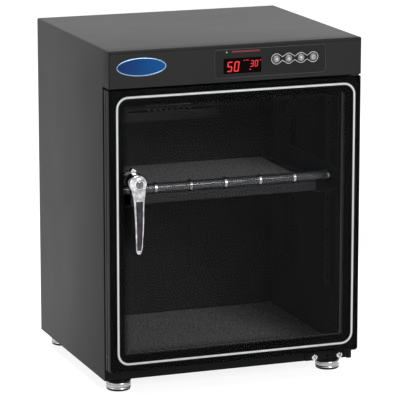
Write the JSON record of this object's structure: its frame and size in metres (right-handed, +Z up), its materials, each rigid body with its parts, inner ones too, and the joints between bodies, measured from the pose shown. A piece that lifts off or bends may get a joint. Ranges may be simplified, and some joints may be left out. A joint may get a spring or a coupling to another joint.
{
  "type": "camera dry cabinet",
  "caption": "Sheet-steel dry cabinet for cameras and lenses with a framed glass door, lever handle with key lock, digital humidity controller, slide-out tray and solid-state dehumidifier.",
  "frame": {"origin": "on the floor under the feet, in the middle of the whole cabinet's width and depth", "axes": "+Z up, the longest extent; the glass door faces -Y and its hinges are on the +X side"},
  "size_m": [0.4, 0.3832, 0.524],
  "materials": {
    "cabinet_paint": "satin dark grey powder coat",
    "black_paint": "satin black paint",
    "header_paint": "satin near-black paint",
    "panel_film": "gloss black film",
    "smoked_window": "smoked red, clear",
    "lit_red": "lit red",
    "circuit": "matte",
    "blue_enamel": "gloss blue enamel, blank",
    "black_steel": "satin black paint",
    "foam": "open-cell foam, speckled dark grey",
    "black_plastic": "matte moulded",
    "sink_aluminium": "plain",
    "ceramic": "white ceramic",
    "white_plastic": "matte moulded",
    "wire_sleeve": "matte sleeve",
    "bright_steel": "zinc plated",
    "foot_steel": "brushed, with two grooves",
    "glass": "clear tempered",
    "black_enamel": "printed black enamel",
    "profile_plastic": "satin grey moulded",
    "seal_rubber": "matte",
    "bush_plastic": "natural acetal",
    "handle_chrome": "polished",
    "smoked_bar": "smoked clear acrylic",
    "button_chrome": "satin chrome with printed symbols",
    "pad_rubber": "matte",
    "collar_plastic": "gloss black moulded"
  },
  "bodies": {
    "cabinet": {"left_side_panel": "cabinet_paint", "right_side_panel": "cabinet_paint", "header_cheeks": "cabinet_paint", "top_panel": "cabinet_paint", "base_panel": "black_paint", "back_panel": "cabinet_paint", "front_frame": "black_paint", "bottom_rail": "black_paint", "header_floor": "black_paint", "header_fascia": "header_paint", "control_overlay": "panel_film", "display_window": "smoked_window", "display_digits": "lit_red", "control_board": "circuit", "nameplate": "blue_enamel", "shelf_standards": "black_steel", "tray_rails": "black_steel", "floor_mat": "foam", "dehumidifier_housing": "black_plastic", "cold_sink": "sink_aluminium", "cooling_module": "ceramic", "hot_sink": "sink_aluminium", "rear_vent_cover": "black_steel", "power_inlet": "black_plastic", "humidity_sensor": "white_plastic", "wiring_harness": "wire_sleeve", "top_hinge_bracket": "black_paint", "bottom_hinge_bracket": "black_paint", "screws": "bright_steel", "foot_collars": "collar_plastic", "foot_nuts": "bright_steel"},
    "door": {"door_glass": "glass", "door_print": "black_enamel", "door_left_stile": "profile_plastic", "door_right_stile": "profile_plastic", "door_top_rail": "profile_plastic", "door_bottom_rail": "profile_plastic", "door_gasket": "seal_rubber", "hinge_bushes": "bush_plastic", "handle_base": "handle_chrome", "handle_nut": "bright_steel"},
    "handle": {"handle_lever": "handle_chrome", "latch_cam": "bright_steel"},
    "lock": {"lock_cylinder": "bright_steel"},
    "tray": {"tray": "black_steel", "tray_mat": "foam", "tray_bar": "smoked_bar", "bar_rings": "handle_chrome"},
    "mode_button": {"mode_button": "button_chrome"},
    "up_button": {"up_button": "button_chrome"},
    "down_button": {"down_button": "button_chrome"},
    "power_button": {"power_button": "button_chrome"},
    "foot_front_left": {"foot_front_left": "foot_steel", "pad_front_left": "pad_rubber"},
    "foot_front_right": {"foot_front_right": "foot_steel", "pad_front_right": "pad_rubber"},
    "foot_rear_left": {"foot_rear_left": "foot_steel", "pad_rear_left": "pad_rubber"},
    "foot_rear_right": {"foot_rear_right": "foot_steel", "pad_rear_right": "pad_rubber"}
  },
  "joints": [
    {"name": "door_hinge", "type": "hinge", "parent": "cabinet", "child": "door", "pos_m": [0.19, -0.15105, 0.25], "axis": [0, 0, 1], "range_deg": [0, 110]},
    {"name": "handle_turn", "type": "hinge", "parent": "door", "child": "handle", "pos_m": [-0.162, -0.16305, 0.329], "axis": [0, -1, 0], "range_deg": [0, 90]},
    {"name": "lock_turn", "type": "hinge", "parent": "handle", "child": "lock", "pos_m": [-0.162, -0.18305, 0.329], "axis": [0, -1, 0], "range_deg": [0, 90]},
    {"name": "tray_slide", "type": "slide", "parent": "cabinet", "child": "tray", "axis": [0, -1, 0], "range_m": [0, 0.007]},
    {"name": "mode_button_press", "type": "slide", "parent": "cabinet", "child": "mode_button", "axis": [0, 1, 0], "range_m": [0, 0.0008], "stiffness_N_per_m": 400},
    {"name": "up_button_press", "type": "slide", "parent": "cabinet", "child": "up_button", "axis": [0, 1, 0], "range_m": [0, 0.0008], "stiffness_N_per_m": 400},
    {"name": "down_button_press", "type": "slide", "parent": "cabinet", "child": "down_button", "axis": [0, 1, 0], "range_m": [0, 0.0008], "stiffness_N_per_m": 400},
    {"name": "power_button_press", "type": "slide", "parent": "cabinet", "child": "power_button", "axis": [0, 1, 0], "range_m": [0, 0.0008], "stiffness_N_per_m": 400},
    {"name": "foot_front_left_turn", "type": "hinge", "parent": "cabinet", "child": "foot_front_left", "pos_m": [-0.171, -0.11305, 0.01], "axis": [0, 0, 1], "continuous": true},
    {"name": "foot_front_right_turn", "type": "hinge", "parent": "cabinet", "child": "foot_front_right", "pos_m": [0.171, -0.11305, 0.01], "axis": [0, 0, 1], "continuous": true},
    {"name": "foot_rear_left_turn", "type": "hinge", "parent": "cabinet", "child": "foot_rear_left", "pos_m": [-0.171, 0.16195, 0.01], "axis": [0, 0, 1], "continuous": true},
    {"name": "foot_rear_right_turn", "type": "hinge", "parent": "cabinet", "child": "foot_rear_right", "pos_m": [0.171, 0.16195, 0.01], "axis": [0, 0, 1], "continuous": true}
  ]
}
